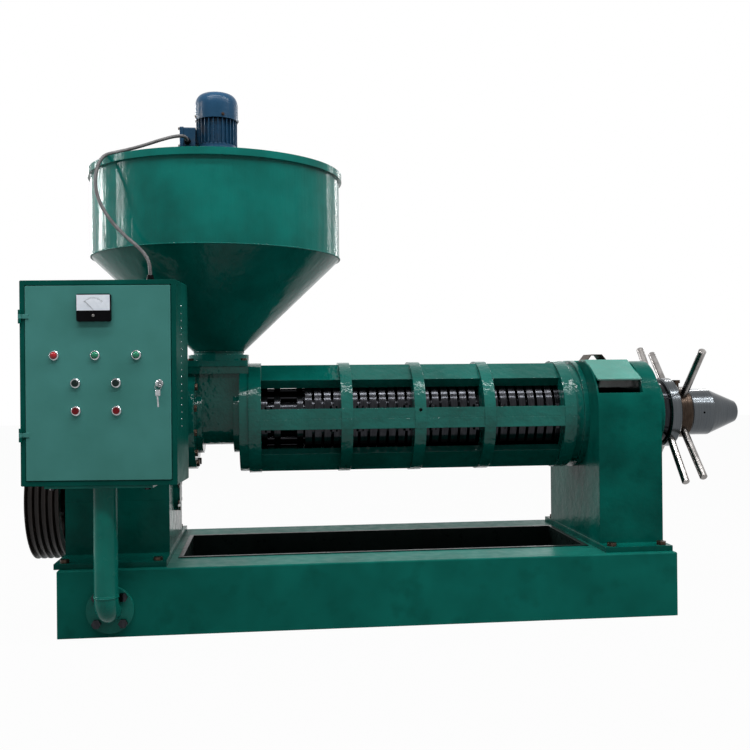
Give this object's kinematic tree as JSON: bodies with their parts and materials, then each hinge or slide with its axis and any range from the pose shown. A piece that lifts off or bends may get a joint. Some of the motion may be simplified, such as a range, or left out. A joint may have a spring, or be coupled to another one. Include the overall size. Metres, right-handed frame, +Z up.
{
  "type": "screw oil press",
  "caption": "Screw press that squeezes oil from seeds: stirred feed hopper, geared screw in a slotted ring cage, oil tray, adjustable cake outlet, hinged control cabinet.",
  "frame": {"origin": "centre of the anchor bolt pattern, on the underside of the base frame", "axes": "+Z up, +X along the screw from the drive pulley to the cake outlet, -Y towards the side with the control cabinet"},
  "size_m": [2.611, 1.0474, 1.8623],
  "materials": {
    "green_paint": "gloss",
    "hood_paint": "gloss",
    "door_paint": "satin",
    "black_paint": "satin",
    "bare_sheet": "satin",
    "bolt_steel": "satin",
    "machined_steel": "polished",
    "dark_steel": "satin",
    "bearing_steel": "satin",
    "cap_iron": "painted",
    "motor_paint": "gloss",
    "conduit_grey": "ribbed",
    "gland_plastic": "satin",
    "meter_face": "gloss",
    "bezel_metal": "polished",
    "lamp_lens": "gloss",
    "button_dark": "gloss",
    "button_red": "gloss"
  },
  "bodies": {
    "frame": {"base_frame": "green_paint", "cabinet_body": "hood_paint", "cage_clamp_bolts": "bolt_steel", "cage_rings_bay_1": "dark_steel", "cage_rings_bay_2": "dark_steel", "cage_rings_bay_3": "dark_steel", "cage_rings_bay_4": "dark_steel", "cage_rods": "dark_steel", "chute_hoods": "hood_paint", "conduit_glands": "gland_plastic", "discharge_pedestal": "green_paint", "fan_cover": "motor_paint", "feed_bolts": "bolt_steel", "feed_housing": "green_paint", "flexible_conduit": "conduit_grey", "gearbox_bearing_caps": "cap_iron", "gearbox_bolts": "bolt_steel", "gearbox_cover": "green_paint", "gearbox_lower_housing": "green_paint", "gearbox_middle_housing": "green_paint", "hopper_shell": "green_paint", "lower_cage_frame": "green_paint", "motor_beam": "green_paint", "motor_body": "motor_paint", "oil_tray": "black_paint", "output_lantern": "green_paint", "pedestal_foot_bolts": "bolt_steel", "pipe_bolts": "bolt_steel", "shaft_bearings": "bearing_steel", "stirrer_reducer": "motor_paint", "support_pipe": "green_paint", "terminal_box": "motor_paint", "terminal_cover": "motor_paint", "upper_cage_frame": "green_paint", "vent_cowl": "bare_sheet"},
    "press_screw": {"worm_shaft": "machined_steel", "worm_sections": "dark_steel", "output_gear": "dark_steel"},
    "input_train": {"input_pinion_shaft": "machined_steel", "drive_pulley": "black_paint"},
    "intermediate_train": {"intermediate_pinion_shaft": "machined_steel", "intermediate_gear": "dark_steel"},
    "stirrer": {"stirrer_shaft": "machined_steel", "stirrer_paddles": "dark_steel"},
    "choke": {"choke_sleeve": "machined_steel"},
    "adjusting": {"adjusting_screw": "machined_steel", "adjusting_ring": "dark_steel", "adjusting_bars": "machined_steel", "lock_screw": "bolt_steel"},
    "lock": {"lock_ring": "dark_steel", "lock_bars": "machined_steel"},
    "door": {"cabinet_door": "door_paint", "panel_meter": "meter_face", "lamp_lenses": "lamp_lens", "button_bezels": "bezel_metal"},
    "start_button_1": {"push_button_1": "button_dark"},
    "start_button_2": {"push_button_2": "button_dark"},
    "stop_button_1": {"push_button_3": "button_red"},
    "stop_button_2": {"push_button_4": "button_red"},
    "key_lock": {"door_lock": "bezel_metal"}
  },
  "joints": [
    {"name": "screw_spin", "type": "hinge", "parent": "frame", "child": "press_screw", "pos_m": [0, 0, 0.68], "axis": [1, 0, 0], "continuous": true},
    {"name": "input_spin", "type": "hinge", "parent": "frame", "child": "input_train", "pos_m": [-0.9, 0, 0.412], "axis": [1, 0, 0], "continuous": true},
    {"name": "intermediate_spin", "type": "hinge", "parent": "frame", "child": "intermediate_train", "pos_m": [-0.9, 0.05397, 0.53683], "axis": [1, 0, 0], "continuous": true},
    {"name": "stirrer_spin", "type": "hinge", "parent": "frame", "child": "stirrer", "pos_m": [-0.5365, 0, 1.2], "axis": [0, 0, 1], "continuous": true},
    {"name": "choke_slide", "type": "slide", "parent": "frame", "child": "choke", "axis": [1, 0, 0], "range_m": [0, 0.012]},
    {"name": "adjusting_turn", "type": "hinge", "parent": "choke", "child": "adjusting", "pos_m": [1.2, 0, 0.68], "axis": [1, 0, 0], "range_deg": [0, 360]},
    {"name": "lock_turn", "type": "hinge", "parent": "choke", "child": "lock", "pos_m": [1.145, 0, 0.68], "axis": [1, 0, 0], "range_deg": [0, 90]},
    {"name": "door_swing", "type": "hinge", "parent": "frame", "child": "door", "pos_m": [-1.1026, -0.52765, 0.816], "axis": [0, 0, -1], "range_deg": [0, 110]},
    {"name": "lock_key_turn", "type": "hinge", "parent": "door", "child": "key_lock", "pos_m": [-0.68382, -0.56041, 0.813], "axis": [-0.0941, -0.9956, 0], "range_deg": [0, 90]},
    {"name": "start_button_1_press", "type": "slide", "parent": "door", "child": "start_button_1", "axis": [0.0941, 0.9956, 0], "range_m": [0, 0.003], "stiffness_N_per_m": 300, "springref_m": -0.003},
    {"name": "start_button_2_press", "type": "slide", "parent": "door", "child": "start_button_2", "axis": [0.0941, 0.9956, 0], "range_m": [0, 0.003], "stiffness_N_per_m": 300, "springref_m": -0.003},
    {"name": "stop_button_1_press", "type": "slide", "parent": "door", "child": "stop_button_1", "axis": [0.0941, 0.9956, 0], "range_m": [0, 0.003], "stiffness_N_per_m": 300, "springref_m": -0.003},
    {"name": "stop_button_2_press", "type": "slide", "parent": "door", "child": "stop_button_2", "axis": [0.0941, 0.9956, 0], "range_m": [0, 0.003], "stiffness_N_per_m": 300, "springref_m": -0.003}
  ],
  "couplings": [
    {"joint": "input_spin", "follows": "screw_spin", "ratio": 9},
    {"joint": "intermediate_spin", "follows": "screw_spin", "ratio": -3},
    {"joint": "choke_slide", "follows": "adjusting_turn", "m_per_rad": 0.0019099}
  ]
}
